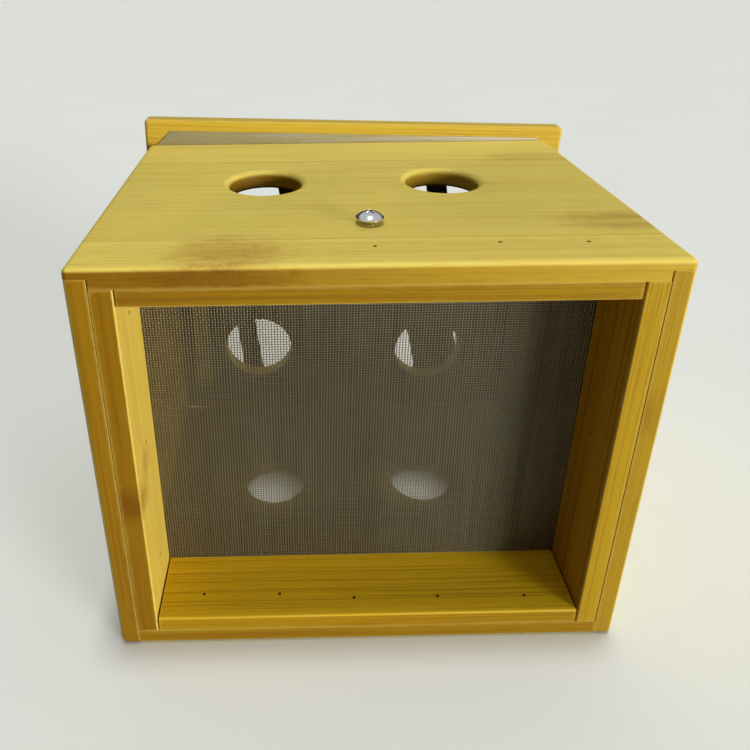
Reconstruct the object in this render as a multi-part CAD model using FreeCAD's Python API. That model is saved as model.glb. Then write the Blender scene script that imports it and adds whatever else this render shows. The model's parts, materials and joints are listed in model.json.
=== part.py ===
"""Bamboo moxibustion box with four stick holes, lying on one of its long walls.

X runs along the long walls, Y from the open mouth back to the lid, Z up. The origin is on the
surface that the box lies on, under the middle of its overall size. Millimetres throughout.
"""
import FreeCAD, Part
import math
import os

from FreeCAD import Vector

# Box, measured outside
box_length = 160.0
box_height = 135.0
box_depth = 117.0
wall = 6.0
outer_round = 1.8
rabbet = 3.0
corner_gap = 0.5

# Strips that line the mouth and hold the wire cloth
ledge_depth = 24.0
side_ledge = 6.2
level_ledge = 5.2
glue_gap = 0.3
ledge_end_gap = 0.5
ledge_round = 0.7

# Wire cloth and its staples
mesh_thickness = 0.6
mesh_margin = 1.0
staple_wire = 0.7
staple_crown = 8.0
staple_leg = 5.0

# Round vents through both long walls
vent_bore = 24.0
vent_round = 2.4
vent_spacing = 59.5
vent_offset = -1.6
vent_depth = 66.5

# Brads that hold the ledge strips
brad_radius = 0.55
brad_length = 9.0
brad_sink = 0.3

# Wood screw for the strap, in the upper wall
screw_offset = -0.2
screw_depth = 28.0
screw_radius = 1.5
screw_head_radius = 4.1
screw_head_height = 2.1
screw_stand_off = 1.6
screw_shank = 6.0
screw_tip = 1.6

# Lid
lid_length = 169.0
lid_height = 139.5
lid_thickness = 7.7
lid_round = 1.5
lid_gap = 0.1
lid_tilt = 1.85
lid_shift = 0.8
floor_clearance = 0.05
hole_radius = 15.0
hole_pitch_x = 78.0
hole_pitch_z = 71.0
hole_edge = 0.8

# Steel sheet under the lid
shield_length = 160.0
shield_height = 131.0
shield_thickness = 0.5
shield_corner = 6.0
shield_hole_radius = 15.6
shield_pin_inset = 8.5

# Cleats that keep the lid on the mouth of the box
cleat_width = 7.0
cleat_depth = 7.0
cleat_length = 106.0
cleat_span = 136.0
cleat_screw_radius = 1.2
cleat_screw_head_radius = 2.4
cleat_screw_length = 12.0

# Elastic strips across the stick holes: hole side, hole row, width, shift across, lean in degrees
band_thickness = 1.2
band_length = 46.0
band_tack_spacing = 39.0
bands = {
    "band_upper_left": (-1, 1, 9.0, 13.0, 12.0),
    "band_upper_right": (1, 1, 9.0, -0.5, 12.0),
    "band_lower_left": (-1, -1, 9.0, -5.0, 8.5),
    "band_lower_right": (1, -1, 22.0, 3.6, 14.0),
}
tack_head_radius = 2.8
tack_head_height = 1.3
tack_shank_radius = 0.7
tack_shank_length = 6.0

total_depth = (box_depth + lid_gap + shield_thickness + lid_thickness
               + band_thickness + tack_head_height)
tilt = math.radians(lid_tilt)
x_axis = Vector(1, 0, 0)
y_axis = Vector(0, 1, 0)
z_axis = Vector(0, 0, 1)


def block(x0, x1, y0, y1, z0, z1):
    return Part.makeBox(x1 - x0, y1 - y0, z1 - z0, Vector(x0, y0, z0))


def rod(radius, length, start, direction):
    return Part.makeCylinder(radius, length, start, direction)


def edges_where(shape, test):
    """Edges whose two ends both pass the test."""
    return [e for e in shape.Edges if all(test(v.Point) for v in e.Vertexes)]


def near(value, target):
    return abs(value - target) < 0.01


def envelope():
    """The box's outer shape with every outer edge sanded round."""
    solid = block(-box_length / 2, box_length / 2, 0, box_depth, 0, box_height)
    return solid.makeFillet(outer_round, solid.Edges)


def vent_places():
    return [vent_offset - vent_spacing / 2, vent_offset + vent_spacing / 2]


def with_vents(board, z_inner, z_outer):
    """Two round vents through a long wall, their rims sanded round on the outer face."""
    for x in vent_places():
        z_low = min(z_inner, z_outer)
        board = board.cut(rod(vent_bore / 2, wall + 2, Vector(x, vent_depth, z_low - 1), z_axis))
    rims = [e for e in board.Edges if near(e.BoundBox.ZMin, z_outer) and near(e.BoundBox.ZMax, z_outer)
            and abs(e.BoundBox.XLength - vent_bore) < 0.1]
    return board.makeFillet(vent_round, rims)


def make_wall_upper():
    """Its outer half runs over the ends of the short walls, its inner half fits between them."""
    half = box_length / 2
    outer = block(-half, half, 0, box_depth, box_height - rabbet, box_height)
    reach = half - wall - corner_gap
    inner = block(-reach, reach, 0, box_depth, box_height - wall, box_height - rabbet)
    board = outer.fuse(inner).removeSplitter().common(envelope())
    return with_vents(board, box_height - wall, box_height)


def make_wall_lower():
    reach = box_length / 2 - wall
    board = block(-reach, reach, 0, box_depth, 0, wall).common(envelope())
    return with_vents(board, wall, 0)


def make_wall_side(side):
    outer = side * box_length / 2
    inner = side * (box_length / 2 - wall)
    board = block(min(outer, inner), max(outer, inner), 0, box_depth, 0, box_height - rabbet)
    return board.common(envelope())


def side_ledge_faces():
    outer = box_length / 2 - wall - glue_gap
    return outer - side_ledge, outer


def make_ledge_side(side):
    """Full height between the long walls; its mouth edge is broken."""
    inner, outer = (side * x for x in side_ledge_faces())
    strip = block(min(inner, outer), max(inner, outer), 0, ledge_depth, wall, box_height - wall)
    edge = edges_where(strip, lambda p: near(p.x, inner) and near(p.y, 0))
    return strip.makeFillet(ledge_round, edge)


def make_ledge_level(z_wall, z_free):
    """Fits between the side ledges, against a long wall."""
    reach = side_ledge_faces()[0] - ledge_end_gap
    strip = block(-reach, reach, 0, ledge_depth, min(z_wall, z_free), max(z_wall, z_free))
    edge = edges_where(strip, lambda p: near(p.z, z_free) and near(p.y, 0))
    return strip.makeFillet(ledge_round, edge)


def make_mesh_screen():
    half = box_length / 2 - wall - mesh_margin
    return block(-half, half, ledge_depth, ledge_depth + mesh_thickness,
                 wall + mesh_margin, box_height - wall - mesh_margin)


def staple(x, z, along):
    """A flat-wire staple whose legs go through the cloth into a ledge strip."""
    back = ledge_depth + mesh_thickness
    half = staple_crown / 2
    side = staple_wire / 2
    crown = block(-half, half, back, back + staple_wire, -side, side)
    legs = [block(x0, x0 + staple_wire, back - staple_leg, back, -side, side)
            for x0 in (-half, half - staple_wire)]
    shape = crown.fuse(legs).removeSplitter()
    if along == z_axis:
        shape.rotate(Vector(0, 0, 0), y_axis, 90)
    shape.translate(Vector(x, 0, z))
    return shape


def staple_places():
    """Places along the middle of each ledge strip, with the direction of the crown."""
    x_side = sum(side_ledge_faces()) / 2
    z_low = wall + level_ledge / 2
    z_high = box_height - z_low
    places = [(side * x_side, box_height * part, z_axis) for side in (-1, 1) for part in (0.25, 0.5, 0.75)]
    places += [(box_length * part, z, x_axis) for z in (z_low, z_high) for part in (-0.3, 0, 0.3)]
    return places


def brad(start, direction):
    return rod(brad_radius, brad_length, start, direction)


def brad_places():
    """Start, just under the surface, and direction of every brad."""
    inner = side_ledge_faces()[0]
    low = wall + level_ledge
    places = []
    for side in (-1, 1):
        for z in (25.0, 71.0, 115.5):
            places.append((Vector(side * (inner + brad_sink), 13.0, z), Vector(side, 0, 0)))
    for x, y in ((-53.5, 9.0), (-28.5, 8.5), (-4.0, 6.5), (23.5, 6.5), (52.0, 6.0)):
        places.append((Vector(x, y, low - brad_sink), Vector(0, 0, -1)))
    for x, y in ((-0.5, 11.5), (33.0, 13.0), (56.5, 12.5)):
        places.append((Vector(x, y, box_height - brad_sink), Vector(0, 0, -1)))
    return places


def cross_recess(centre, top):
    """Four tapering wings of a cross drive, cut into a screw head."""
    wings = []
    for angle in (45, 135):
        wing = block(-1.7, 1.7, -0.45, 0.45, top - 1.3, top + 1)
        wing.rotate(Vector(0, 0, 0), z_axis, angle)
        wings.append(wing)
    cross = wings[0].fuse(wings[1])
    cross.translate(Vector(centre.x, centre.y, 0))
    return cross


def domed_head(radius, height, rim):
    """A button head about Z: flat under, a thin rim, then a dome."""
    dome_height = height - rim
    sphere_radius = (radius ** 2 + dome_height ** 2) / (2 * dome_height)
    slab = rod(radius, height, Vector(0, 0, 0), z_axis)
    ball = Part.makeSphere(sphere_radius, Vector(0, 0, height - sphere_radius))
    return slab.common(ball)


def make_strap_screw():
    """Head held off the wall, so that a strap's buttonhole hooks under it."""
    under = box_height + screw_stand_off
    top = under + screw_head_height
    head = domed_head(screw_head_radius, screw_head_height, 0.4)
    head.translate(Vector(screw_offset, screw_depth, under))
    head = head.cut(cross_recess(Vector(screw_offset, screw_depth, 0), top))
    down = Vector(0, 0, -1)
    start = Vector(screw_offset, screw_depth, under + 0.2)
    shank = rod(screw_radius, screw_shank, start, down)
    tip = Part.makeCone(screw_radius, 0.3, screw_tip, start + down * screw_shank, down)
    return head.fuse([shank, tip]).removeSplitter()


# The lid is drawn about its own middle, its inner face at Y = 0, and set in place at the end.

def lid_holes(radius, y0, y1):
    return [rod(radius, y1 - y0, Vector(sx * hole_pitch_x / 2, y0, sz * hole_pitch_z / 2), y_axis)
            for sx in (-1, 1) for sz in (-1, 1)]


def make_lid_board():
    board = block(-lid_length / 2, lid_length / 2, shield_thickness, shield_thickness + lid_thickness,
                  -lid_height / 2, lid_height / 2)
    board = board.makeFillet(lid_round, board.Edges)
    back = shield_thickness + lid_thickness
    for hole in lid_holes(hole_radius, 0, back + 1):
        board = board.cut(hole)
    for sx in (-1, 1):
        for sz in (-1, 1):
            flare = Part.makeCone(hole_radius, hole_radius + hole_edge, hole_edge,
                                  Vector(sx * hole_pitch_x / 2, back - hole_edge, sz * hole_pitch_z / 2), y_axis)
            board = board.cut(flare)
    return board


def make_heat_shield():
    """Thin steel, its corners cut off, with a clear hole for each stick."""
    half_x = shield_length / 2
    half_z = shield_height / 2
    corners = []
    for sx, sz in ((1, 1), (-1, 1), (-1, -1), (1, -1)):
        along = Vector(sx * (half_x - shield_corner), 0, sz * half_z)
        down = Vector(sx * half_x, 0, sz * (half_z - shield_corner))
        corners += [down, along] if sx * sz > 0 else [along, down]
    sheet = Part.Face(Part.makePolygon(corners + corners[:1])).extrude(Vector(0, shield_thickness, 0))
    for hole in lid_holes(shield_hole_radius, -1, 1):
        sheet = sheet.cut(hole)
    return sheet


def make_cleat(side):
    centre = side * (cleat_span - cleat_width) / 2
    strip = block(centre - cleat_width / 2, centre + cleat_width / 2, -cleat_depth, 0,
                  -cleat_length / 2, cleat_length / 2)
    ends = edges_where(strip, lambda p: near(p.y, -cleat_depth))
    return strip.makeChamfer(1.0, ends)


def make_cleat_screws():
    """Countersunk wood screws, driven through each cleat into the lid."""
    screws = []
    for side in (-1, 1):
        for z in (-0.35, 0, 0.35):
            place = Vector(side * (cleat_span - cleat_width) / 2, -cleat_depth, z * cleat_length)
            head = Part.makeCone(cleat_screw_head_radius, cleat_screw_radius, 1.4, place, y_axis)
            screws.append(head.fuse(rod(cleat_screw_radius, cleat_screw_length, place, y_axis)).removeSplitter())
    return Part.Compound(screws)


def make_shield_pins():
    """Short flat pins through the margin of the sheet, their heads flush with it."""
    x = shield_length / 2 - shield_pin_inset
    z = shield_height / 2 - shield_pin_inset
    places = [(sx * x, sz * z * 0.82) for sx in (-1, 1) for sz in (-1, 1)]
    places += [(sx * x * 0.75, sz * z) for sx in (-1, 1) for sz in (-1, 1)]
    places += [(0, z), (0, -z)]
    return Part.Compound([rod(0.7, 6.0, Vector(px, 0, pz), y_axis) for px, pz in places])


def band_frame(side, row, shift, lean, shape):
    """Lean a shape about the middle of its hole and carry it there, on the lid's outer face."""
    shape.translate(Vector(shift, 0, 0))
    shape.rotate(Vector(0, 0, 0), y_axis, -lean)
    shape.translate(Vector(side * hole_pitch_x / 2, shield_thickness + lid_thickness, row * hole_pitch_z / 2))
    return shape


def tack_places(width):
    """One tack at each end of a narrow strip, two abreast on the wide one."""
    across = (0,) if width < 15 else (-width / 4, width / 4)
    return [(x, z * band_tack_spacing / 2) for x in across for z in (-1, 1)]


def make_band(side, row, width, shift, lean):
    strip = block(-width / 2, width / 2, 0, band_thickness, -band_length / 2, band_length / 2)
    for x, z in tack_places(width):
        strip = strip.cut(rod(tack_shank_radius, band_thickness, Vector(x, 0, z), y_axis))
    return band_frame(side, row, shift, lean, strip)


def tack():
    """A dome-headed tack along Y: the head stands on the strip, the shank goes into the lid."""
    head = domed_head(tack_head_radius, tack_head_height, 0.3)
    head.rotate(Vector(0, 0, 0), x_axis, -90)
    head.translate(Vector(0, band_thickness, 0))
    shank = rod(tack_shank_radius, tack_shank_length, Vector(0, band_thickness, 0), Vector(0, -1, 0))
    return head.fuse(shank).removeSplitter()


def make_band_tacks():
    tacks = []
    for side, row, width, shift, lean in bands.values():
        for x, z in tack_places(width):
            one = tack()
            one.translate(Vector(x, 0, z))
            tacks.append(band_frame(side, row, shift, lean, one))
    return Part.Compound(tacks)


def bored(shape, tools):
    """A shape with the holes that pins, tacks and screws make in it."""
    for tool in tools:
        shape = shape.cut(tool)
    return shape


def place_lid(shape):
    """The lid stands on its lower corner, a little turned, against the back of the box."""
    shape.rotate(Vector(0, 0, 0), y_axis, lid_tilt)
    middle = lid_height / 2 * math.cos(tilt) + lid_length / 2 * math.sin(tilt) + floor_clearance
    shape.translate(Vector(0, box_depth + lid_gap - total_depth / 2, middle))
    return shape


def place_box(shape):
    shape.translate(Vector(-lid_shift, -total_depth / 2, 0))
    return shape


brads = [brad(start, direction) for start, direction in brad_places()]
staples = [staple(x, z, along) for x, z, along in staple_places()]
strap_screw = make_strap_screw()
driven = brads + staples + [strap_screw]
brad_heads = [rod(brad_radius, 2 * brad_sink, start - direction * (2 * brad_sink), direction)
              for start, direction in brad_places()]

box_parts = {
    "wall_upper": bored(make_wall_upper(), driven + brad_heads),
    "wall_lower": bored(make_wall_lower(), driven),
    "wall_left": bored(make_wall_side(-1), driven),
    "wall_right": bored(make_wall_side(1), driven),
    "ledge_upper": bored(make_ledge_level(box_height - wall, box_height - wall - level_ledge), driven),
    "ledge_lower": bored(make_ledge_level(wall, wall + level_ledge), driven + brad_heads),
    "ledge_left": bored(make_ledge_side(-1), driven + brad_heads),
    "ledge_right": bored(make_ledge_side(1), driven + brad_heads),
    "mesh_screen": bored(make_mesh_screen(), staples),
    "mesh_staples": Part.Compound(staples),
    "ledge_brads": Part.Compound(brads),
    "strap_screw": strap_screw,
}

cleat_screws = make_cleat_screws()
shield_pins = make_shield_pins()
band_tacks = make_band_tacks()
lid_parts = {
    "lid_board": bored(make_lid_board(), cleat_screws.Solids + shield_pins.Solids + band_tacks.Solids),
    "heat_shield": bored(make_heat_shield(), cleat_screws.Solids + shield_pins.Solids),
    "cleat_left": bored(make_cleat(-1), cleat_screws.Solids),
    "cleat_right": bored(make_cleat(1), cleat_screws.Solids),
    "cleat_screws": cleat_screws,
    "shield_pins": shield_pins,
    "band_tacks": band_tacks,
}
for name, band in bands.items():
    lid_parts[name] = make_band(*band)

os.makedirs("parts", exist_ok=True)
finished = {name: place_box(shape) for name, shape in box_parts.items()}
finished.update({name: place_lid(shape) for name, shape in lid_parts.items()})
for name, shape in finished.items():
    shape.exportStep(f"parts/{name}.step")
    box = shape.BoundBox
    print(f"{name}: {len(shape.Solids)} solids, valid {shape.isValid()}, volume {shape.Volume:.0f}, "
          f"Y {box.YMin:.2f} to {box.YMax:.2f}, Z {box.ZMin:.2f} to {box.ZMax:.2f}")
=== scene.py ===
import json
import math

import bmesh
import bpy
from mathutils import Matrix, Vector


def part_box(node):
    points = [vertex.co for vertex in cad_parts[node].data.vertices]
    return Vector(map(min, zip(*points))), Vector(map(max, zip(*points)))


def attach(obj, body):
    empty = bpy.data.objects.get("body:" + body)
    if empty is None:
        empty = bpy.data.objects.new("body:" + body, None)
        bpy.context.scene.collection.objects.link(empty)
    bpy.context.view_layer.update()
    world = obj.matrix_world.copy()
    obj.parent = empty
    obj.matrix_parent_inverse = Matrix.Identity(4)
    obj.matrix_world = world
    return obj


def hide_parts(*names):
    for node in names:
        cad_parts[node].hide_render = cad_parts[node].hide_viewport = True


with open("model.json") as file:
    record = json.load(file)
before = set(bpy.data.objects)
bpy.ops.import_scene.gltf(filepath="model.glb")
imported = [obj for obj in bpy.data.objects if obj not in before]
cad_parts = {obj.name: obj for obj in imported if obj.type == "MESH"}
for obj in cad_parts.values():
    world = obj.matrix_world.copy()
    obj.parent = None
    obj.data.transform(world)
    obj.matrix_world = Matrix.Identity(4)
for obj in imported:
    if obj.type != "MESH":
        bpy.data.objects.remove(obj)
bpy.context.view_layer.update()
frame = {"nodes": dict(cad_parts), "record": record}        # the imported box: its bodies, nodes, joints and record

mm = 0.001
lidTurn = math.radians(1.85)                   # the lid stands a little turned behind the box
grainAlongX = Matrix.Identity(3)
grainAlongZ = Matrix.Rotation(math.radians(90), 3, "Y")  # carries Z onto the pattern's X
lidStraight = Matrix.Rotation(-lidTurn, 3, "Y")

bodyOf = {node: body for body, nodes in frame["record"]["behaviour"]["bodies"].items() for node in nodes}


def middleOf(node):
    low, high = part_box(node)
    return (low + high) / 2


# the burning chamber, a little larger than the space between the walls, so that it takes in their inner skin; the
# painted shade inside the box fills it
skin = 0.9 * mm
chamberLow = Vector((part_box("wall_left")[1].x - skin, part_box("mesh_screen")[0].y,
                     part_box("wall_lower")[1].z - skin))
chamberHigh = Vector((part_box("wall_right")[0].x + skin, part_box("lid_board")[0].y + skin,
                      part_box("wall_upper")[0].z + skin))


# small helpers for node trees

def addNode(tree, kind, values=None, **settings):
    node = tree.nodes.new(kind)
    for key, value in settings.items():
        setattr(node, key, value)
    for key, value in (values or {}).items():
        feed(tree, node.inputs[key], value)
    return node


def feed(tree, socket, value):
    if isinstance(value, bpy.types.NodeSocket):
        tree.links.new(value, socket)
    else:
        socket.default_value = value


def sums(tree, operation, *terms):
    node = addNode(tree, "ShaderNodeMath", operation=operation)
    for socket, term in zip(node.inputs, terms):
        feed(tree, socket, term)
    return node.outputs[0]


def times(tree, first, second):
    return sums(tree, "MULTIPLY", first, second)


def vectorSum(tree, operation, *terms):
    node = addNode(tree, "ShaderNodeVectorMath", operation=operation)
    sockets = [node.inputs[0], node.inputs["Scale"]] if operation == "SCALE" else node.inputs
    for socket, term in zip(sockets, terms):
        feed(tree, socket, term)
    return node.outputs["Value" if operation in ("LENGTH", "DOT_PRODUCT") else "Vector"]


def remap(tree, value, low, high, toLow=0.0, toHigh=1.0, smooth=True):
    kind = "SMOOTHSTEP" if smooth else "LINEAR"
    node = addNode(tree, "ShaderNodeMapRange", interpolation_type=kind, clamp=True)
    keys = ("Value", "From Min", "From Max", "To Min", "To Max")
    for key, term in zip(keys, (value, low, high, toLow, toHigh)):
        feed(tree, node.inputs[key], term)
    return node.outputs["Result"]


def noise(tree, vector, fineness=(1.0, 1.0, 1.0), detail=2.0, roughness=0.5):
    # fineness is one number for each direction: the larger, the finer
    node = addNode(tree, "ShaderNodeTexNoise", {"Vector": vectorSum(tree, "MULTIPLY", vector, fineness),
                                                "Scale": 1.0, "Detail": detail, "Roughness": roughness})
    return node.outputs["Fac"]


def depthInBox(tree, place, low, high):
    # how far a place is inside a box, in each direction
    inside = vectorSum(tree, "MINIMUM", vectorSum(tree, "SUBTRACT", place, low),
                       vectorSum(tree, "SUBTRACT", high, place))
    return addNode(tree, "ShaderNodeSeparateXYZ", {0: inside}).outputs


def mixColour(tree, factor, first, second, blend="MIX"):
    node = addNode(tree, "ShaderNodeMix", data_type="RGBA", blend_type=blend)
    for socket, term in ((node.inputs[0], factor), (node.inputs[6], first), (node.inputs[7], second)):
        feed(tree, socket, term)
    return node.outputs[2]


def newGroup(name, kind, inputs, outputs):
    tree = bpy.data.node_groups.new(name, kind)
    for label, socketType, default in inputs:
        socket = tree.interface.new_socket(name=label, in_out="INPUT", socket_type=socketType)
        if default is not None:
            socket.default_value = default
    for label, socketType in outputs:
        tree.interface.new_socket(name=label, in_out="OUTPUT", socket_type=socketType)
    return tree, tree.nodes.new("NodeGroupInput").outputs, tree.nodes.new("NodeGroupOutput").inputs


def useGroup(tree, group, values):
    node = tree.nodes.new("ShaderNodeGroup")
    node.node_tree = group
    for key, value in values.items():
        feed(tree, node.inputs[key], value)
    return node.outputs


# effects that several materials share

def makeGrainGroup():
    floatSocket = "NodeSocketFloat"
    tree, given, out = newGroup("bambooGrain", "ShaderNodeTree", [
        ("Vector", "NodeSocketVector", None), ("Strip Width", floatSocket, 0.0365),
        ("Strip Start", floatSocket, 0.0), ("Seed", floatSocket, 0.0), ("Wander", floatSocket, 0.0006)],
        [("Tone", floatSocket), ("Fibre", floatSocket), ("Dash", floatSocket), ("Streak", floatSocket),
         ("Seam", floatSocket), ("Height", floatSocket)])
    place = addNode(tree, "ShaderNodeSeparateXYZ", {0: given["Vector"]}).outputs
    fromStart = sums(tree, "SUBTRACT", place["Y"], given["Strip Start"])
    strip = sums(tree, "DIVIDE", fromStart, given["Strip Width"])
    number = sums(tree, "FLOOR", strip)
    across = sums(tree, "FRACT", strip)
    key = addNode(tree, "ShaderNodeCombineXYZ", {"X": number, "Y": given["Seed"], "Z": 4.3}).outputs[0]
    chance = addNode(tree, "ShaderNodeTexWhiteNoise", {"Vector": key}, noise_dimensions="3D").outputs
    jump = vectorSum(tree, "SCALE", chance["Color"], 40.0)

    bend = noise(tree, given["Vector"], (14.0, 30.0, 30.0), detail=1.0)
    bend = times(tree, sums(tree, "SUBTRACT", bend, 0.5), given["Wander"])
    bentY = sums(tree, "ADD", place["Y"], times(tree, bend, 2.0))
    bent = addNode(tree, "ShaderNodeCombineXYZ", {"X": place["X"], "Y": bentY, "Z": place["Z"]}).outputs[0]

    def lines(alongScale, acrossScale, detail, roughness):
        stretched = vectorSum(tree, "MULTIPLY", bent, (alongScale, acrossScale, acrossScale))
        return noise(tree, vectorSum(tree, "ADD", stretched, jump), detail=detail, roughness=roughness)

    fibre = remap(tree, lines(7.0, 1150.0, 3.0, 0.6), 0.44, 0.70)
    dash = remap(tree, lines(75.0, 2600.0, 1.0, 0.5), 0.60, 0.78)
    streak = lines(5.0, 230.0, 3.0, 0.55)
    drift = lines(9.0, 45.0, 2.0, 0.5)
    tone = sums(tree, "ADD", times(tree, chance["Value"], 0.55), times(tree, drift, 0.45))
    toEdge = sums(tree, "MINIMUM", across, sums(tree, "SUBTRACT", 1.0, across))
    seam = remap(tree, times(tree, toEdge, given["Strip Width"]), 0.00008, 0.0003, 1.0, 0.0)
    height = sums(tree, "SUBTRACT", 1.0, times(tree, fibre, 0.35))
    height = sums(tree, "SUBTRACT", height, times(tree, dash, 0.45))
    height = sums(tree, "SUBTRACT", height, times(tree, seam, 0.6))
    results = {"Tone": tone, "Fibre": fibre, "Dash": dash, "Streak": streak, "Seam": seam, "Height": height}
    for name, value in results.items():
        tree.links.new(value, out[name])
    return tree


def makeKnotGroup():
    tree, given, out = newGroup("bambooKnot", "ShaderNodeTree", [
        ("Vector", "NodeSocketVector", None), ("Place", "NodeSocketVector", (0, 0, 0)),
        ("Reach", "NodeSocketVector", (0.008, 0.009, 0.02))],
        [("Mask", "NodeSocketFloat"), ("Speckle", "NodeSocketFloat")])
    fromPlace = vectorSum(tree, "SUBTRACT", given["Vector"], given["Place"])
    away = vectorSum(tree, "LENGTH", vectorSum(tree, "DIVIDE", fromPlace, given["Reach"]))
    ragged = noise(tree, given["Vector"], (160.0, 420.0, 420.0), detail=3.0, roughness=0.6)
    ragged = times(tree, sums(tree, "SUBTRACT", ragged, 0.5), 1.1)
    mask = remap(tree, sums(tree, "ADD", away, ragged), 0.25, 1.15, 1.0, 0.0)
    spots = noise(tree, given["Vector"], (900.0, 1300.0, 1300.0), detail=1.0)
    tree.links.new(mask, out["Mask"])
    tree.links.new(times(tree, mask, remap(tree, spots, 0.56, 0.66)), out["Speckle"])
    return tree


# pale edges: sanded, and also a painted highlight along every edge
def makeEdgeGroup():
    tree, given, out = newGroup("edgeWearAndHighlight", "ShaderNodeTree", [
        ("Vector", "NodeSocketVector", None), ("Low", "NodeSocketVector", (0, 0, 0)),
        ("High", "NodeSocketVector", (1, 1, 1)), ("Width", "NodeSocketFloat", 0.001)],
        [("Mask", "NodeSocketFloat")])
    side = depthInBox(tree, given["Vector"], given["Low"], given["High"])
    # the middle one of the three distances is the way to the nearest edge
    lesser = sums(tree, "MINIMUM", side["X"], side["Y"])
    greater = sums(tree, "MAXIMUM", side["X"], side["Y"])
    toEdge = sums(tree, "MAXIMUM", lesser, sums(tree, "MINIMUM", greater, side["Z"]))
    uneven = noise(tree, given["Vector"], (170.0, 170.0, 170.0), detail=3.0, roughness=0.65)
    width = times(tree, given["Width"], remap(tree, uneven, 0.25, 0.75, 0.35, 1.9, smooth=False))
    tree.links.new(remap(tree, toEdge, 0.0, width, 1.0, 0.0), out["Mask"])
    return tree


def makeSoilGroup():
    tree, given, out = newGroup("lightSoil", "ShaderNodeTree", [
        ("Vector", "NodeSocketVector", None), ("Amount", "NodeSocketFloat", 0.5)],
        [("Mask", "NodeSocketFloat"), ("Specks", "NodeSocketFloat")])
    cloud = noise(tree, given["Vector"], (38.0, 38.0, 38.0), detail=4.0, roughness=0.6)
    specks = noise(tree, given["Vector"], (1500.0, 1500.0, 1500.0), detail=1.0)
    tree.links.new(times(tree, remap(tree, cloud, 0.45, 0.75), given["Amount"]), out["Mask"])
    tree.links.new(times(tree, remap(tree, specks, 0.70, 0.76), given["Amount"]), out["Specks"])
    return tree


# darkens everything inside the chamber: painted shade for the dim inside of the box
def makeInsideShadeGroup():
    tree, given, out = newGroup("paintedShadeInside", "ShaderNodeTree", [
        ("Vector", "NodeSocketVector", None), ("Low", "NodeSocketVector", (0, 0, 0)),
        ("High", "NodeSocketVector", (1, 1, 1)), ("Fade", "NodeSocketFloat", 0.0006)],
        [("Mask", "NodeSocketFloat")])
    way = depthInBox(tree, given["Vector"], given["Low"], given["High"])
    depth = sums(tree, "MINIMUM", sums(tree, "MINIMUM", way["X"], way["Y"]), way["Z"])
    cloud = noise(tree, given["Vector"], (55.0, 55.0, 55.0), detail=3.0)
    mask = times(tree, remap(tree, depth, 0.0, given["Fade"]), remap(tree, cloud, 0.2, 0.8, 0.8, 1.0))
    tree.links.new(mask, out["Mask"])
    return tree


grainGroup = makeGrainGroup()
knotGroup = makeKnotGroup()
edgeGroup = makeEdgeGroup()
soilGroup = makeSoilGroup()
insideShadeGroup = makeInsideShadeGroup()
print("shared effects: grain, knots, edge wearAndHighlight, light soil, smoke")


# materials

def newMaterial(name):
    material = bpy.data.materials.new(name)
    material.use_nodes = True
    tree = material.node_tree
    tree.nodes.clear()
    shader = addNode(tree, "ShaderNodeBsdfPrincipled")
    ending = addNode(tree, "ShaderNodeOutputMaterial")
    tree.links.new(shader.outputs[0], ending.inputs["Surface"])
    place = addNode(tree, "ShaderNodeTexCoord").outputs["Object"]
    return material, tree, shader.inputs, place


def turned(tree, place, rotation, centre=(0, 0, 0)):
    # centre goes to the pattern's origin before the turn
    shift = rotation @ -Vector(centre)
    node = addNode(tree, "ShaderNodeMapping", {"Vector": place, "Location": shift,
                                               "Rotation": rotation.to_euler()})
    return node.outputs[0]


bamboo = {
    "pale": (0.690, 0.545, 0.105, 1),      # the flat skin side
    "amber": (0.440, 0.215, 0.004, 1),     # cut edges, where the fibres show
    "seam": (0.200, 0.100, 0.010, 1),
    "seamDepth": 0.3,
    "speck": (0.080, 0.030, 0.006, 1),
    # pale colour of the sanded edges, which is also a painted highlight
    "wornAndHighlit": (0.740, 0.560, 0.130, 1),
    "rubAndHighlight": 0.2,                            # how far the edges are sanded pale, which also paints a highlight along them
    "paleEdgeWidth": 0.9 * mm,
    "easedEdge": 0.35 * mm,
    # strength of the painted shade inside the box
    "insideShading": 0.94,
    "tints": {                             # each mark darkens the wood by its own tint
        "streak": (0.78, 0.68, 0.50, 1),
        "fibre": (0.55, 0.42, 0.25, 1),
        "dash": (0.55, 0.42, 0.30, 1),
        "stain": (0.70, 0.58, 0.48, 1),
        "knot": (0.66, 0.50, 0.36, 1),
        "soil": (0.85, 0.80, 0.72, 1),
        # tint of the painted shade inside the box
        "paintedShade": (0.15, 0.105, 0.07, 1),
    },
}


def tinted(tree, colour, mark, strength, tint):
    return mixColour(tree, times(tree, mark, strength), colour, bamboo["tints"][tint], "MULTIPLY")


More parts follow.
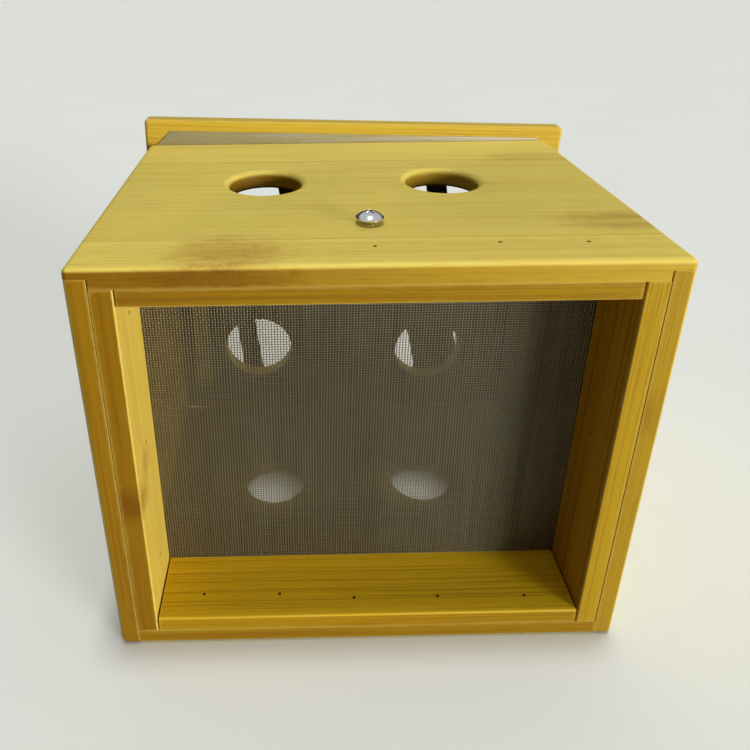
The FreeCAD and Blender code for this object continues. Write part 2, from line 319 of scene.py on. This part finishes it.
def makeBamboo(name, node, flatAxis, rotation, strip, seed, cut=bamboo["amber"], cutFar=None,
               face=bamboo["pale"], fibre=0.5, streaks=0.4, knots=(), stains=(), centre=(0, 0, 0)):
    material, tree, shader, place = newMaterial(name)
    along = turned(tree, place, rotation, centre)
    grain = useGroup(tree, grainGroup, {"Vector": along, "Strip Width": strip[0], "Strip Start": strip[1],
                                        "Seed": seed})
    low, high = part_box(node)
    edges = useGroup(tree, edgeGroup, {"Vector": place, "Low": low, "High": high,
                                       "Width": bamboo["paleEdgeWidth"]})
    soil = useGroup(tree, soilGroup, {"Vector": place, "Amount": 0.5})

    facing = vectorSum(tree, "DOT_PRODUCT", place.node.outputs["Normal"], flatAxis)
    # skin faces pale, cut faces amber; the range lets the rounded edges keep the pale skin colour, a painted
    # highlight along them
    flat = remap(tree, sums(tree, "ABSOLUTE", facing), 0.22, 0.70)
    edgeWood = cut
    if cutFar:                      # the cut edges grow paler towards the right end
        right = addNode(tree, "ShaderNodeSeparateXYZ", {0: place}).outputs["X"]
        edgeWood = mixColour(tree, remap(tree, right, low.x, high.x, smooth=False), edgeWood, cutFar)
    colour = mixColour(tree, flat, edgeWood, face)
    tone = remap(tree, grain["Tone"], 0.2, 0.8, 1.07, 0.86, smooth=False)
    colour = vectorSum(tree, "SCALE", colour, tone)
    streak = remap(tree, grain["Streak"], 0.50, 0.80)
    colour = tinted(tree, colour, streak, streaks, "streak")
    colour = tinted(tree, colour, grain["Fibre"], fibre, "fibre")
    colour = tinted(tree, colour, grain["Dash"], 0.35, "dash")
    for spot, reach, depth in stains:
        mask = useGroup(tree, knotGroup, {"Vector": along, "Place": spot, "Reach": reach})["Mask"]
        broken = times(tree, mask, remap(tree, grain["Streak"], 0.35, 0.65, 0.35, 1.0))
        colour = tinted(tree, colour, broken, depth, "stain")
    for spot, reach, depth in knots:
        knot = useGroup(tree, knotGroup, {"Vector": along, "Place": spot, "Reach": reach})
        colour = tinted(tree, colour, knot["Mask"], depth, "knot")
        colour = mixColour(tree, times(tree, knot["Speckle"], depth * 0.3), colour, bamboo["speck"])
    colour = mixColour(tree, times(tree, grain["Seam"], bamboo["seamDepth"]), colour, bamboo["seam"])
    colour = tinted(tree, colour, soil["Mask"], 0.22, "soil")
    # edges turn pale and rougher: sanded, and also a painted highlight
    wornAndHighlit = times(tree, edges["Mask"], bamboo["rubAndHighlight"])
    colour = mixColour(tree, wornAndHighlit, colour, bamboo["wornAndHighlit"])
    # painted shade: the inside of the box is darkened
    paintedShade = useGroup(tree, insideShadeGroup, {"Vector": place, "Low": chamberLow, "High": chamberHigh})
    colour = tinted(tree, colour, paintedShade["Mask"], bamboo["insideShading"], "paintedShade")
    feed(tree, shader["Base Color"], colour)
    rough = remap(tree, grain["Fibre"], 0.0, 1.0, 0.42, 0.56)
    rough = sums(tree, "ADD", rough, times(tree, wornAndHighlit, 0.15))
    feed(tree, shader["Roughness"], sums(tree, "ADD", rough, times(tree, soil["Mask"], 0.15)))
    shader["Specular IOR Level"].default_value = 0.14
    bump = addNode(tree, "ShaderNodeBump", {"Strength": 0.45, "Distance": 0.00012,
                                            "Height": grain["Height"]})
    feed(tree, shader["Normal"], bump.outputs[0])
    return material


metals = {
    "bright plate": dict(colour=(0.72, 0.72, 0.73, 1), tarnish=(0.33, 0.32, 0.31, 1), tarnished=0.4,
                         rough=0.13, fineness=(900, 900, 250), scratch=0.2),
    # the zinc plate and the rolled sheet take painted shade inside the box
    "zinc plate": dict(colour=(0.62, 0.63, 0.63, 1), tarnish=(0.40, 0.39, 0.36, 1), tarnished=0.6,
                       rough=0.30, fineness=(700, 700, 700), scratch=0.5, insideShading=0.85),
    "rolled sheet": dict(colour=(0.58, 0.57, 0.50, 1), tarnish=(0.40, 0.38, 0.32, 1), tarnished=0.6,
                         rough=0.34, fineness=(40, 900, 1600), scratch=0.5, insideShading=0.95),
    "dark brad wire": dict(colour=(0.12, 0.085, 0.05, 1), tarnish=(0.05, 0.03, 0.015, 1), tarnished=0.8,
                           rough=0.42, fineness=(800, 800, 800), scratch=0.5),
    "nickel plate": dict(colour=(0.72, 0.70, 0.66, 1), tarnish=(0.42, 0.39, 0.33, 1), tarnished=0.5,
                         rough=0.18, fineness=(800, 800, 800), scratch=0.3),
    "cloth wire": dict(colour=(0.50, 0.445, 0.30, 1), tarnish=(0.28, 0.245, 0.15, 1), tarnished=0.3,
                       rough=0.34, fineness=(900, 300, 14), scratch=0.5),
}
# colour of the painted shade on metal inside the box
paintedShadeColour = (0.050, 0.040, 0.027, 1)


def makeMetal(name, colour, tarnish, tarnished, rough, fineness, scratch, insideShading=0.0):
    material, tree, shader, place = newMaterial(name)
    soil = useGroup(tree, soilGroup, {"Vector": place, "Amount": tarnished})
    drawn = noise(tree, place, fineness, detail=3.0, roughness=0.6)
    lines = remap(tree, drawn, 0.35, 0.70)
    shade = mixColour(tree, times(tree, lines, scratch), colour, tarnish)
    shade = mixColour(tree, soil["Mask"], shade, tarnish)
    shade = mixColour(tree, soil["Specks"], shade, tarnish)
    # painted shade: metal inside the box is darkened
    if insideShading:
        paintedShade = useGroup(tree, insideShadeGroup, {"Vector": place, "Low": chamberLow, "High": chamberHigh})
        shade = mixColour(tree, times(tree, paintedShade["Mask"], insideShading), shade, paintedShadeColour)
    feed(tree, shader["Base Color"], shade)
    spread = sums(tree, "ADD", times(tree, lines, scratch * 0.4), times(tree, soil["Mask"], 0.25))
    feed(tree, shader["Roughness"], sums(tree, "ADD", rough, spread))
    shader["Metallic"].default_value = 1.0
    bump = addNode(tree, "ShaderNodeBump", {"Strength": scratch, "Distance": 0.00003, "Height": lines})
    feed(tree, shader["Normal"], bump.outputs[0])
    return material


def makeElastic(name):
    material, tree, shader, place = newMaterial(name)
    weave = tree.nodes.new("ShaderNodeUVMap")
    weave.uv_map = "webbing"
    fuzz = noise(tree, weave.outputs[0], (1600.0, 9000.0, 1.0), roughness=0.6)
    soil = useGroup(tree, soilGroup, {"Vector": place, "Amount": 0.8})
    colour = mixColour(tree, fuzz, (0.0045, 0.0042, 0.0040, 1), (0.016, 0.0145, 0.013, 1))
    colour = mixColour(tree, times(tree, soil["Specks"], 0.6), colour, (0.20, 0.16, 0.10, 1))
    feed(tree, shader["Base Color"], colour)
    feed(tree, shader["Roughness"], remap(tree, fuzz, 0.2, 0.8, 0.62, 0.88))
    shader["Sheen Weight"].default_value = 0.25
    shader["Sheen Roughness"].default_value = 0.5
    bump = addNode(tree, "ShaderNodeBump", {"Strength": 0.5, "Distance": 0.00008, "Height": fuzz})
    feed(tree, shader["Normal"], bump.outputs[0])
    return material


# wooden and metal pieces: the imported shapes, with the wood's edges eased

finishing = {
    "weld": 0.002 * mm,      # corners closer than this are one
    "flatAngle": 0.4,        # faces that differ by less are made one face
    "sharpAngle": 30,        # edges above this stay crisp
    "easedAngle": 40,        # edges above this are eased
}


def finishNode(node, name, material, edge=None):
    mesh = frame["nodes"][node].data.copy()
    mesh.name = name
    shape = bmesh.new()
    shape.from_mesh(mesh)
    bmesh.ops.remove_doubles(shape, verts=shape.verts, dist=finishing["weld"])
    bmesh.ops.dissolve_limit(shape, angle_limit=math.radians(finishing["flatAngle"]), verts=shape.verts,
                             edges=shape.edges)
    shape.to_mesh(mesh)
    shape.free()
    mesh.materials.clear()
    mesh.materials.append(material)
    mesh.shade_smooth()
    mesh.set_sharp_from_angle(angle=math.radians(finishing["sharpAngle"]))
    piece = bpy.data.objects.new(name, mesh)
    bpy.context.scene.collection.objects.link(piece)
    if edge:
        bevel = piece.modifiers.new("eased edges", "BEVEL")
        bevel.width = edge
        bevel.segments = 2
        bevel.limit_method = "ANGLE"
        bevel.angle_limit = math.radians(finishing["easedAngle"])
        bevel.harden_normals = True
        bevel.use_clamp_overlap = True
    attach(piece, bodyOf[node])
    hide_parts(node)


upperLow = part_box("wall_upper")[0]
mouth = upperLow.y
boxLeft = upperLow.x
seamStart = mouth + 17 * mm       # the first glue line, back from the mouth
stripWidth = 36.6 * mm


def onBox(x, y, z):
    # a place on the box in millimetres: from its left end, from the mouth, up from the floor
    return Vector((boxLeft + x * mm, mouth + y * mm, z * mm))


def upright(place):
    # the same place in the pattern of a piece whose grain runs up
    return grainAlongZ @ place


lying = dict(flatAxis=(0, 0, 1), rotation=grainAlongX)         # boards whose flat sides face up and down
standing = dict(flatAxis=(1, 0, 0), rotation=grainAlongZ)      # boards whose flat sides face left and right
cleat = dict(flatAxis=(0, 1, 0), rotation=grainAlongZ @ lidStraight, strip=(20 * mm, 0.0), fibre=0.6)

# strip is the width of the glued strips and the place of a glue line
# a knot or a stain is its place, how far it reaches in each direction and how dark it is
woods = {
    "wall_upper": dict(
        lying, cut=(0.22, 0.093, 0.0008, 1), cutFar=(0.54, 0.360, 0.028, 1),
        strip=(stripWidth, seamStart), seed=2.0, fibre=0.24, streaks=0.22,
        knots=[(onBox(41, 9, 135), (0.019, 0.012, 0.003), 0.62),
               (onBox(38, 0, 131.5), (0.024, 0.003, 0.005), 0.7)],
        stains=[(onBox(146, 92, 135), (0.022, 0.007, 0.01), 0.7),
                (onBox(151, 27, 135), (0.020, 0.010, 0.01), 0.8),
                (onBox(118, 60, 135), (0.050, 0.008, 0.01), 0.3),
                (onBox(80, 7, 135), (0.110, 0.012, 0.003), 0.35)]),
    "wall_lower": dict(
        lying, cut=(0.36, 0.190, 0.006, 1),
        strip=(stripWidth, seamStart - 9 * mm), seed=7.0, fibre=0.45,
        knots=[(onBox(104, 44, 3), (0.007, 0.016, 0.02), 0.8)]),
    "wall_left": dict(
        standing, cut=(0.30, 0.150, 0.003, 1),
        strip=(stripWidth, seamStart + 5 * mm), seed=3.0, fibre=0.4,
        knots=[(upright(onBox(3, 62, 84)), (0.007, 0.018, 0.02), 0.75)]),
    "wall_right": dict(
        standing, cut=(0.46, 0.280, 0.014, 1),
        strip=(stripWidth, seamStart + 14 * mm), seed=11.0, fibre=0.4,
        knots=[(upright(onBox(157, 18, 80)), (0.006, 0.020, 0.02), 0.6)],
        stains=[(upright(onBox(158, 0, 88)), (0.010, 0.006, 0.008), 0.7)]),
    "ledge_upper": dict(
        lying, cut=(0.31, 0.150, 0.0015, 1), cutFar=(0.52, 0.310, 0.002, 1),
        strip=(9 * mm, mouth), seed=5.0, fibre=0.6),
    "ledge_lower": dict(
        lying, cut=(0.45, 0.250, 0.005, 1), face=(0.86, 0.545, 0.016, 1),
        strip=(11 * mm, mouth + 6 * mm), seed=6.0, fibre=0.6),
    "ledge_left": dict(
        standing, cut=(0.27, 0.130, 0.0015, 1), face=(0.65, 0.465, 0.072, 1),
        strip=(24 * mm, mouth - 1 * mm), seed=8.0, fibre=0.4,
        knots=[(upright(onBox(9.5, 2, 58.5)), (0.0075, 0.009, 0.009), 0.8),
               (upright(onBox(12.5, 10, 66)), (0.006, 0.006, 0.006), 0.5)]),
    "ledge_right": dict(
        # the inner face is painted darker and browner than the left strip's inner face: painted shade
        standing, cut=(0.53, 0.325, 0.012, 1), face=(0.44, 0.225, 0.005, 1),
        strip=(12 * mm, mouth + 2 * mm), seed=9.0, fibre=0.8),
    "lid_board": dict(
        flatAxis=(0, 1, 0), rotation=Matrix.Rotation(math.radians(90), 3, "X") @ lidStraight,
        # the cut edges are nearly as pale as the face: a painted highlight along the lid's edges
        cut=(0.57, 0.41, 0.062, 1), face=(0.56, 0.380, 0.036, 1),
        strip=(stripWidth, 11 * mm), seed=4.0, fibre=0.45, centre=middleOf("lid_board"),
        knots=[((0.034, 0.012, 0.0), (0.006, 0.018, 0.02), 0.8)]),
    "cleat_left": dict(cleat, seed=12.0, centre=middleOf("cleat_left")),
    "cleat_right": dict(cleat, seed=13.0, centre=middleOf("cleat_right")),
}
for node, look in woods.items():
    timber = makeBamboo(node + "_bamboo", node, **look)
    finishNode(node, node + "_wood", timber, bamboo["easedEdge"])
print(len(woods), "bamboo pieces with eased edges")

metalOf = {name: makeMetal(name, **look) for name, look in metals.items()}
elastic = makeElastic("black elastic")

hardware = {
    "strap_screw": "bright plate", "cleat_screws": "zinc plate", "mesh_staples": "zinc plate",
    "shield_pins": "dark brad wire", "ledge_brads": "dark brad wire", "band_tacks": "nickel plate",
    "heat_shield": "rolled sheet",
}
for node, metal in hardware.items():
    finishNode(node, node + "_metal", metalOf[metal])
print(len(hardware), "groups of metal pieces")


# wire cloth: two sets of crimped wires that pass over and under each other

wireCloth = {
    "pitch": 0.88 * mm,
    "wire": 0.155 * mm,      # radius of a wire
    "sides": 4,
    "pucker": 0.55 * mm,     # full swing of the free middle, off flat
    "drift": 0.30 * mm,      # full swing of the wires, in the cloth's own plane
    "settle": 14 * mm,       # the wander fades out over this distance from the strips
    "seed": 3.7,
}


def makeWeaveTree():
    tree, given, out = newGroup("crimped wires", "GeometryNodeTree", [
        ("Geometry", "NodeSocketGeometry", None), ("Corner", "NodeSocketVector", (0, 0, 0)),
        ("Along", "NodeSocketVector", (1, 0, 0)), ("Across", "NodeSocketVector", (0, 0, 1)),
        ("Crossings", "NodeSocketInt", 10), ("Wires", "NodeSocketInt", 10),
        ("Pitch", "NodeSocketFloat", 0.001), ("Radius", "NodeSocketFloat", 0.0001),
        ("First Side", "NodeSocketFloat", 1.0), ("Sides", "NodeSocketInt", 4),
        ("Free Low", "NodeSocketVector", (0, 0, 0)), ("Free High", "NodeSocketVector", (0, 0, 0)),
        ("Settle", "NodeSocketFloat", 0.01), ("Pucker", "NodeSocketFloat", 0.0),
        ("Drift", "NodeSocketFloat", 0.0), ("Seed", "NodeSocketFloat", 0.0),
        ("Material", "NodeSocketMaterial", None)],
        [("Geometry", "NodeSocketGeometry")])

    def everyOther():
        index = addNode(tree, "GeometryNodeInputIndex").outputs[0]
        return sums(tree, "MODULO", index, 2.0)

    alongStep = vectorSum(tree, "SCALE", given["Along"], given["Pitch"])
    acrossStep = vectorSum(tree, "SCALE", given["Across"], given["Pitch"])
    line = addNode(tree, "GeometryNodeMeshLine", {"Count": given["Crossings"], "Offset": alongStep},
                   mode="OFFSET")
    side = sums(tree, "SUBTRACT", 1.0, times(tree, everyOther(), 2.0))
    lift = times(tree, times(tree, side, given["First Side"]), given["Radius"])
    crimp = addNode(tree, "ShaderNodeCombineXYZ", {"Y": lift}).outputs[0]
    wave = addNode(tree, "GeometryNodeSetPosition", {"Geometry": line.outputs[0], "Offset": crimp})
    path = addNode(tree, "GeometryNodeMeshToCurve", {"Mesh": wave.outputs[0]})
    ring = addNode(tree, "GeometryNodeCurvePrimitiveCircle", {"Resolution": given["Sides"],
                                                              "Radius": given["Radius"]})
    wire = addNode(tree, "GeometryNodeCurveToMesh", {"Curve": path.outputs[0],
                                                     "Profile Curve": ring.outputs[0], "Fill Caps": True})
    rows = addNode(tree, "GeometryNodeMeshLine", {"Count": given["Wires"], "Start Location": given["Corner"],
                                                  "Offset": acrossStep}, mode="OFFSET")
    # every second wire is turned half round, so that it passes over where the first passes under
    half = vectorSum(tree, "SCALE", given["Along"], times(tree, everyOther(), math.pi))
    placed = addNode(tree, "GeometryNodeInstanceOnPoints", {"Points": rows.outputs[0],
                                                            "Instance": wire.outputs[0], "Rotation": half})
    whole = addNode(tree, "GeometryNodeRealizeInstances", {"Geometry": placed.outputs[0]})

    where = addNode(tree, "GeometryNodeInputPosition").outputs[0]
    room = depthInBox(tree, where, given["Free Low"], given["Free High"])
    loose = remap(tree, sums(tree, "MINIMUM", room["X"], room["Z"]), 0.0, given["Settle"])
    flatPlace = vectorSum(tree, "MULTIPLY", where, (1.0, 0.0, 1.0))
    shift = addNode(tree, "ShaderNodeCombineXYZ", {"Y": given["Seed"]}).outputs[0]
    wander = addNode(tree, "ShaderNodeTexNoise", {"Vector": vectorSum(tree, "ADD", flatPlace, shift),
                                                  "Scale": 42.0, "Detail": 1.0})
    wander = vectorSum(tree, "SUBTRACT", wander.outputs["Color"], (0.5, 0.5, 0.5))
    amount = addNode(tree, "ShaderNodeCombineXYZ", {"X": given["Drift"], "Y": given["Pucker"],
                                                    "Z": given["Drift"]})
    wander = vectorSum(tree, "MULTIPLY", wander, amount.outputs[0])
    wander = vectorSum(tree, "SCALE", wander, loose)
    moved = addNode(tree, "GeometryNodeSetPosition", {"Geometry": whole.outputs[0], "Offset": wander})
    smoothed = addNode(tree, "GeometryNodeSetShadeSmooth", {"Geometry": moved.outputs[0]})
    ending = addNode(tree, "GeometryNodeSetMaterial", {"Geometry": smoothed.outputs[0],
                                                       "Material": given["Material"]})
    tree.links.new(ending.outputs[0], out["Geometry"])
    return tree


def grown(name, tree, values):
    # runs a Geometry Nodes tree on an empty mesh and keeps the plain mesh that comes out
    seedObject = bpy.data.objects.new(name + "_source", bpy.data.meshes.new(name + "_source"))
    bpy.context.scene.collection.objects.link(seedObject)
    modifier = seedObject.modifiers.new("build", "NODES")
    modifier.node_group = tree
    for item in tree.interface.items_tree:
        if item.item_type == "SOCKET" and item.in_out == "INPUT" and item.name in values:
            modifier[item.identifier] = values[item.name]
    seedObject.update_tag()
    depsgraph = bpy.context.evaluated_depsgraph_get()
    mesh = bpy.data.meshes.new_from_object(seedObject.evaluated_get(depsgraph), depsgraph=depsgraph)
    mesh.name = name
    bpy.data.objects.remove(seedObject)
    piece = bpy.data.objects.new(name, mesh)
    bpy.context.scene.collection.objects.link(piece)
    return piece


clothLow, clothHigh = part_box("mesh_screen")
freeLow = Vector((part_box("ledge_left")[1].x, 0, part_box("ledge_lower")[1].z))
freeHigh = Vector((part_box("ledge_right")[0].x, 0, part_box("ledge_upper")[0].z))
columns = int((clothHigh.x - clothLow.x) / wireCloth["pitch"])
rowsHigh = int((clothHigh.z - clothLow.z) / wireCloth["pitch"])
clothCorner = Vector((
    (clothLow.x + clothHigh.x - (columns - 1) * wireCloth["pitch"]) / 2,
    (clothLow.y + clothHigh.y) / 2,
    (clothLow.z + clothHigh.z - (rowsHigh - 1) * wireCloth["pitch"]) / 2))
weaveTree = makeWeaveTree()
wireSets = {
    "cloth_weft": dict(along=(1, 0, 0), across=(0, 0, 1), crossings=columns, wires=rowsHigh, first=1.0),
    "cloth_warp": dict(along=(0, 0, 1), across=(1, 0, 0), crossings=rowsHigh, wires=columns, first=-1.0),
}
for name, wires in wireSets.items():
    piece = grown(name, weaveTree, {
        "Corner": clothCorner, "Along": wires["along"], "Across": wires["across"],
        "Crossings": wires["crossings"], "Wires": wires["wires"], "Pitch": wireCloth["pitch"],
        "Radius": wireCloth["wire"], "First Side": wires["first"], "Sides": wireCloth["sides"],
        "Free Low": freeLow, "Free High": freeHigh, "Settle": wireCloth["settle"],
        "Pucker": wireCloth["pucker"], "Drift": wireCloth["drift"], "Seed": wireCloth["seed"],
        "Material": metalOf["cloth wire"]})
    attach(piece, "box")
    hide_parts("mesh_screen")
    print(name, wires["wires"], "wires,", len(piece.data.polygons), "faces")


# elastic strips over the stick holes

webbing = {
    "length": 46 * mm,
    "thickness": 1.2 * mm,
    "ribPitch": 1.25 * mm,
    "ribDepth": 0.16 * mm,
    "pickPitch": 1.05 * mm,   # cross threads, along the strip
    "neck": 0.045,            # share of the width that is lost at mid length
    "pointsPerRib": 4,
    "rowsPerPick": 3,
    "rimPower": 14,           # the higher, the squarer the edge
    "rimThickness": 0.35,     # share of the thickness that is left at the edge
    "leastSheet": 10 * mm,    # a narrower strip is webbing and no sheet
    "strips": {"upper_left": (9 * mm, 12.0), "upper_right": (9 * mm, 12.0), "lower_left": (9 * mm, 8.5),
               "lower_right": (22 * mm, 14.0)},
}


def webbingDip(u, z, ribs):
    # how far the surface falls below full thickness, between the ribs and the cross threads
    rib = abs(math.sin(math.pi * ribs * (u + 0.5)))
    halfTurns = math.floor(ribs * (u + 0.5))
    pick = math.cos(2 * math.pi * z / webbing["pickPitch"] + math.pi * halfTurns)
    return webbing["ribDepth"] * (1.25 - rib - 0.25 * pick * rib)


def makeWebbing(name, width, lean, centre):
    ribs = round(width / webbing["ribPitch"])
    across = ribs * webbing["pointsPerRib"]
    rows = round(webbing["length"] / webbing["pickPitch"] * webbing["rowsPerPick"])
    thick = webbing["thickness"]
    shape = bmesh.new()
    uvLayer = shape.loops.layers.uv.new("webbing")
    rings, flats = [], []
    for row in range(rows + 1):
        v = row / rows - 0.5
        narrow = 1 - webbing["neck"] * math.cos(math.pi * v) ** 2
        z = v * webbing["length"]
        ring, flatRing = [], []
        for face in (1, -1):
            for step in range(across + 1):
                u = (step / across - 0.5) * face
                full = math.sqrt(max(0.0, 1 - (2 * abs(u)) ** webbing["rimPower"]))
                share = webbing["rimThickness"] + (1 - webbing["rimThickness"]) * full
                y = thick / 2 + face * (thick / 2 - webbingDip(u, z, ribs)) * share
                ring.append(shape.verts.new((u * width * narrow, y, z)))
                flatRing.append((z, u * width + (1 - face) * width))
        rings.append(ring)
        flats.append(flatRing)
    count = len(rings[0])
    for row in range(rows):
        for i in range(count):
            j = (i + 1) % count
            face = shape.faces.new((rings[row][i], rings[row][j], rings[row + 1][j], rings[row + 1][i]))
            corners = (flats[row][i], flats[row][j], flats[row + 1][j], flats[row + 1][i])
            for loop, corner in zip(face.loops, corners):
                loop[uvLayer].uv = corner
            face.smooth = True
    shape.faces.new(rings[0])
    shape.faces.new(reversed(rings[-1]))
    bmesh.ops.recalc_face_normals(shape, faces=shape.faces)
    turn = Matrix.Rotation(lidTurn - math.radians(lean), 4, "Y")
    shape.transform(Matrix.Translation(centre) @ turn)
    mesh = bpy.data.meshes.new(name)
    shape.to_mesh(mesh)
    shape.free()
    mesh.materials.append(elastic)
    piece = bpy.data.objects.new(name, mesh)
    bpy.context.scene.collection.objects.link(piece)
    return piece


for corner, (width, lean) in webbing["strips"].items():
    node = "band_" + corner
    low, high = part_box(node)
    seat = Vector(((low.x + high.x) / 2, low.y, (low.z + high.z) / 2))
    strip = makeWebbing(node + "_elastic", width, lean, seat)
    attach(strip, "lid")
    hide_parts(node)
print(len(webbing["strips"]), "elastic strips")


# floor, light and camera

studio = {
    "floorHalf": 6.0,
    "floorDrop": 0.02 * mm,
    "sky": (0.95, 0.97, 1.0, 1),
    "floorBounce": 0.42,       # how much of what it shows it also throws back onto the box
    "skyStrength": 0.07,       # as a light
    "skySeen": 0.78,           # as the pale room past the floor's edge
    "lamps": {                 # where it shines from, how wide it looks in degrees, strength, colour
        "window": ((0.72, -0.68, 0.025), 28, 6.4, (1.0, 0.985, 0.955)),
        "ceiling": ((0.10, 0.30, 0.95), 95, 0.97, (1.0, 1.0, 0.985)),
        "overhead": ((0.03, 0.03, 1.0), 7, 1.35, (1.0, 1.0, 0.985)),
    },
}


def makeFloor(name):
    material, tree, shader, place = newMaterial(name)
    grainy = noise(tree, place, (9.0, 9.0, 9.0), detail=3.0)
    paper = mixColour(tree, grainy, (0.785, 0.805, 0.765, 1), (0.810, 0.828, 0.788, 1))
    seen = addNode(tree, "ShaderNodeLightPath").outputs["Is Camera Ray"]
    # it lights the underside of things less than it shows, as a narrow table would
    bounce = remap(tree, seen, 0.0, 1.0, studio["floorBounce"], 1.0, smooth=False)
    feed(tree, shader["Base Color"], vectorSum(tree, "SCALE", paper, bounce))
    feed(tree, shader["Roughness"], remap(tree, grainy, 0.3, 0.7, 0.72, 0.82))
    shader["Specular IOR Level"].default_value = 0.2
    return material


def addLamp(name, source, width, strength, colour):
    lamp = bpy.data.lights.new(name, "SUN")
    lamp.energy = strength
    lamp.angle = math.radians(width)
    lamp.color = colour
    holder = bpy.data.objects.new(name, lamp)
    holder.location = Vector(source)
    holder.rotation_euler = (-Vector(source)).to_track_quat("-Z", "Y").to_euler()
    bpy.context.scene.collection.objects.link(holder)


plane = bmesh.new()
bmesh.ops.create_grid(plane, x_segments=1, y_segments=1, size=studio["floorHalf"])
floorMesh = bpy.data.meshes.new("studio_floor")
plane.to_mesh(floorMesh)
plane.free()
floorMesh.materials.append(makeFloor("pale table"))
floor = bpy.data.objects.new("studio_floor", floorMesh)
floor.location.z = -studio["floorDrop"]
bpy.context.scene.collection.objects.link(floor)
for name, lamp in studio["lamps"].items():
    addLamp(name, *lamp)
world = bpy.data.worlds.new("soft room")
world.use_nodes = True
sky = world.node_tree
sky.nodes["Background"].inputs["Color"].default_value = studio["sky"]
seen = addNode(sky, "ShaderNodeLightPath").outputs["Is Camera Ray"]
strength = remap(sky, seen, 0.0, 1.0, studio["skyStrength"], studio["skySeen"], smooth=False)
feed(sky, sky.nodes["Background"].inputs["Strength"], strength)
bpy.context.scene.world = world
bpy.context.scene.view_settings.view_transform = "Standard"

view = {
    "place": (-0.021739, -0.217046, 0.207088),
    "turn": (66.5216, 0.5222, -0.9334),
    "lens": 32.79,
    "sensor": 36.0,
    "shift": (0.0933, -0.1733),
}
camera = bpy.data.cameras.new("camera")
camera.lens = view["lens"]
camera.sensor_width = view["sensor"]
camera.shift_x, camera.shift_y = view["shift"]
camera.clip_start = 0.01
cameraHolder = bpy.data.objects.new("camera", camera)
cameraHolder.location = view["place"]
cameraHolder.rotation_euler = [math.radians(angle) for angle in view["turn"]]
bpy.context.scene.collection.objects.link(cameraHolder)
bpy.context.scene.camera = cameraHolder
print("floor, lamps and camera")
